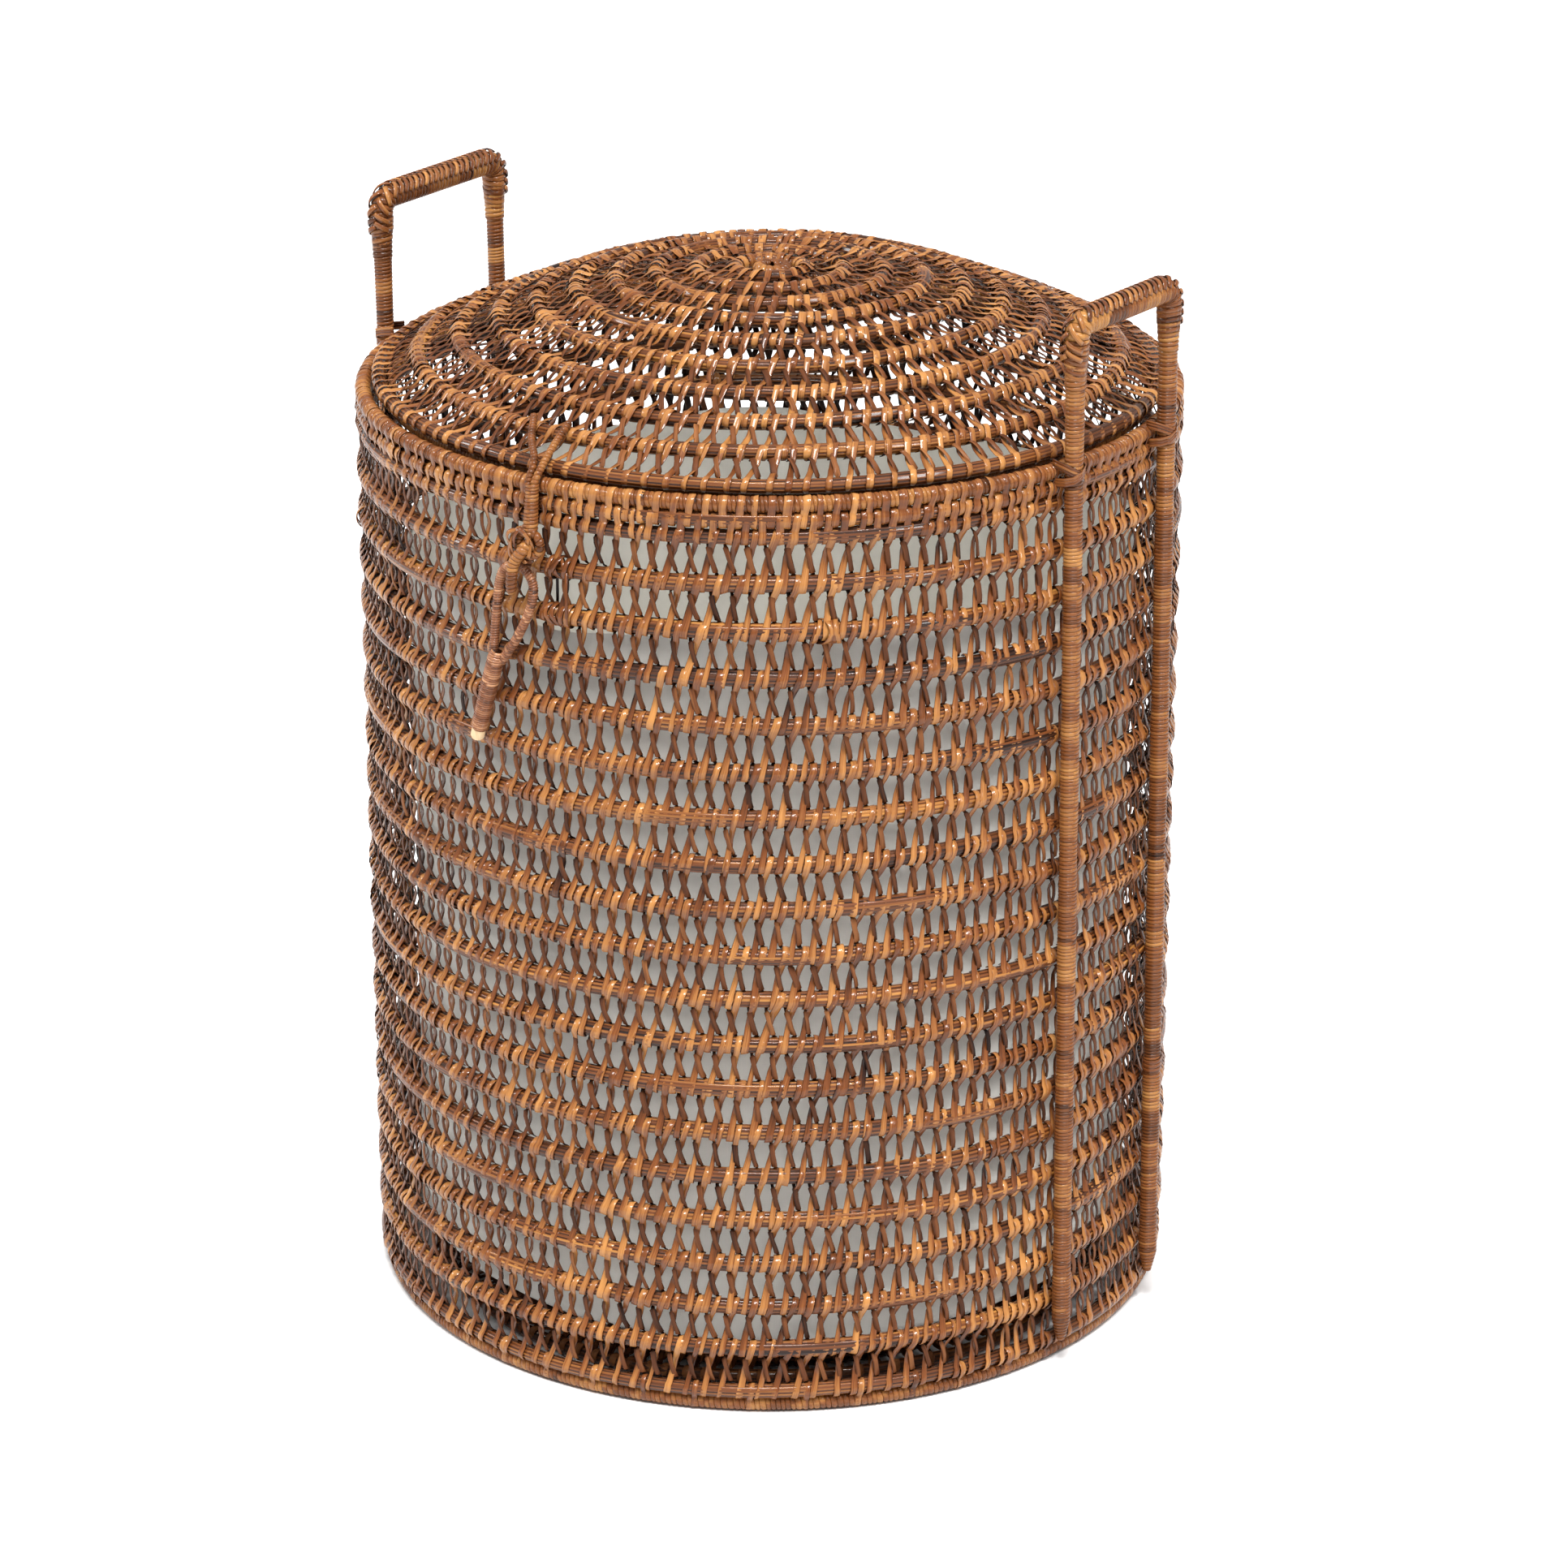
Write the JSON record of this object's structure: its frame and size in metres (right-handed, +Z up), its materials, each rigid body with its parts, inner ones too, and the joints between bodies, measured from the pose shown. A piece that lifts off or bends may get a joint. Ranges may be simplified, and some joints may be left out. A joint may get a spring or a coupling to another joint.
{
  "type": "laundry basket",
  "caption": "Round open-weave rattan laundry basket with a hinged domed lid, two tall side handles, a strap and peg closure, and a fabric liner.",
  "frame": {"origin": "middle of the underside, on the floor", "axes": "+Z up; handles on +X and -X; strap closure at the front, -Y; lid hinge at the back, +Y"},
  "size_m": [0.4663, 0.4648, 0.6001],
  "materials": {
    "rattan_coil": "lacquered",
    "rattan_lacing": "lacquered",
    "rattan_wrap": "lacquered",
    "rattan_tie": "satin",
    "liner_fabric": "matte"
  },
  "bodies": {
    "basket": {"base_coil": "rattan_coil", "base_floor": "rattan_coil", "base_ring": "rattan_wrap", "border_coil_lower": "rattan_coil", "border_coil_upper": "rattan_coil", "closure_knot": "rattan_coil", "grip_left": "rattan_wrap", "grip_right": "rattan_wrap", "liner_bottom": "liner_fabric", "liner_hem": "liner_fabric", "liner_side": "liner_fabric", "liner_ties": "rattan_tie", "post_left_front": "rattan_wrap", "post_left_rear": "rattan_wrap", "post_right_front": "rattan_wrap", "post_right_rear": "rattan_wrap", "rim_coil": "rattan_wrap", "rim_lashings": "rattan_wrap", "wall_coil_01": "rattan_coil", "wall_coil_02": "rattan_coil", "wall_coil_03": "rattan_coil", "wall_coil_04": "rattan_coil", "wall_coil_05": "rattan_coil", "wall_coil_06": "rattan_coil", "wall_coil_07": "rattan_coil", "wall_coil_08": "rattan_coil", "wall_coil_09": "rattan_coil", "wall_coil_10": "rattan_coil", "wall_coil_11": "rattan_coil", "wall_coil_12": "rattan_coil", "wall_coil_13": "rattan_coil", "wall_coil_14": "rattan_coil", "wall_coil_15": "rattan_coil", "wall_coil_16": "rattan_coil", "wall_coil_17": "rattan_coil", "wall_coil_18": "rattan_coil", "wall_lacing": "rattan_lacing"},
    "lid": {"hinge_loop_left": "rattan_wrap", "hinge_loop_right": "rattan_wrap", "lid_centre": "rattan_coil", "lid_coil_01": "rattan_coil", "lid_coil_02": "rattan_coil", "lid_coil_03": "rattan_coil", "lid_coil_04": "rattan_coil", "lid_coil_05": "rattan_coil", "lid_coil_06": "rattan_coil", "lid_coil_07": "rattan_coil", "lid_coil_08": "rattan_coil", "lid_coil_09": "rattan_coil", "lid_coil_10": "rattan_coil", "lid_lacing": "rattan_lacing", "lid_plug_ring": "rattan_wrap", "strap_collar": "rattan_wrap", "strap_eye": "rattan_wrap", "strap_hook": "rattan_wrap", "strap_leg_left": "rattan_wrap", "strap_leg_right": "rattan_wrap"},
    "peg": {"peg_hairpin": "rattan_wrap", "peg_shaft": "rattan_wrap"}
  },
  "joints": [
    {"name": "lid_hinge", "type": "hinge", "parent": "basket", "child": "lid", "pos_m": [0, 0.21861, 0.5147], "axis": [-1, 0, 0], "range_deg": [0, 105]},
    {"name": "peg_swing", "type": "hinge", "parent": "lid", "child": "peg", "pos_m": [0.0006, -0.2294, 0.472], "axis": [-1, -0.0026, 0], "range_deg": [0, 60]}
  ]
}
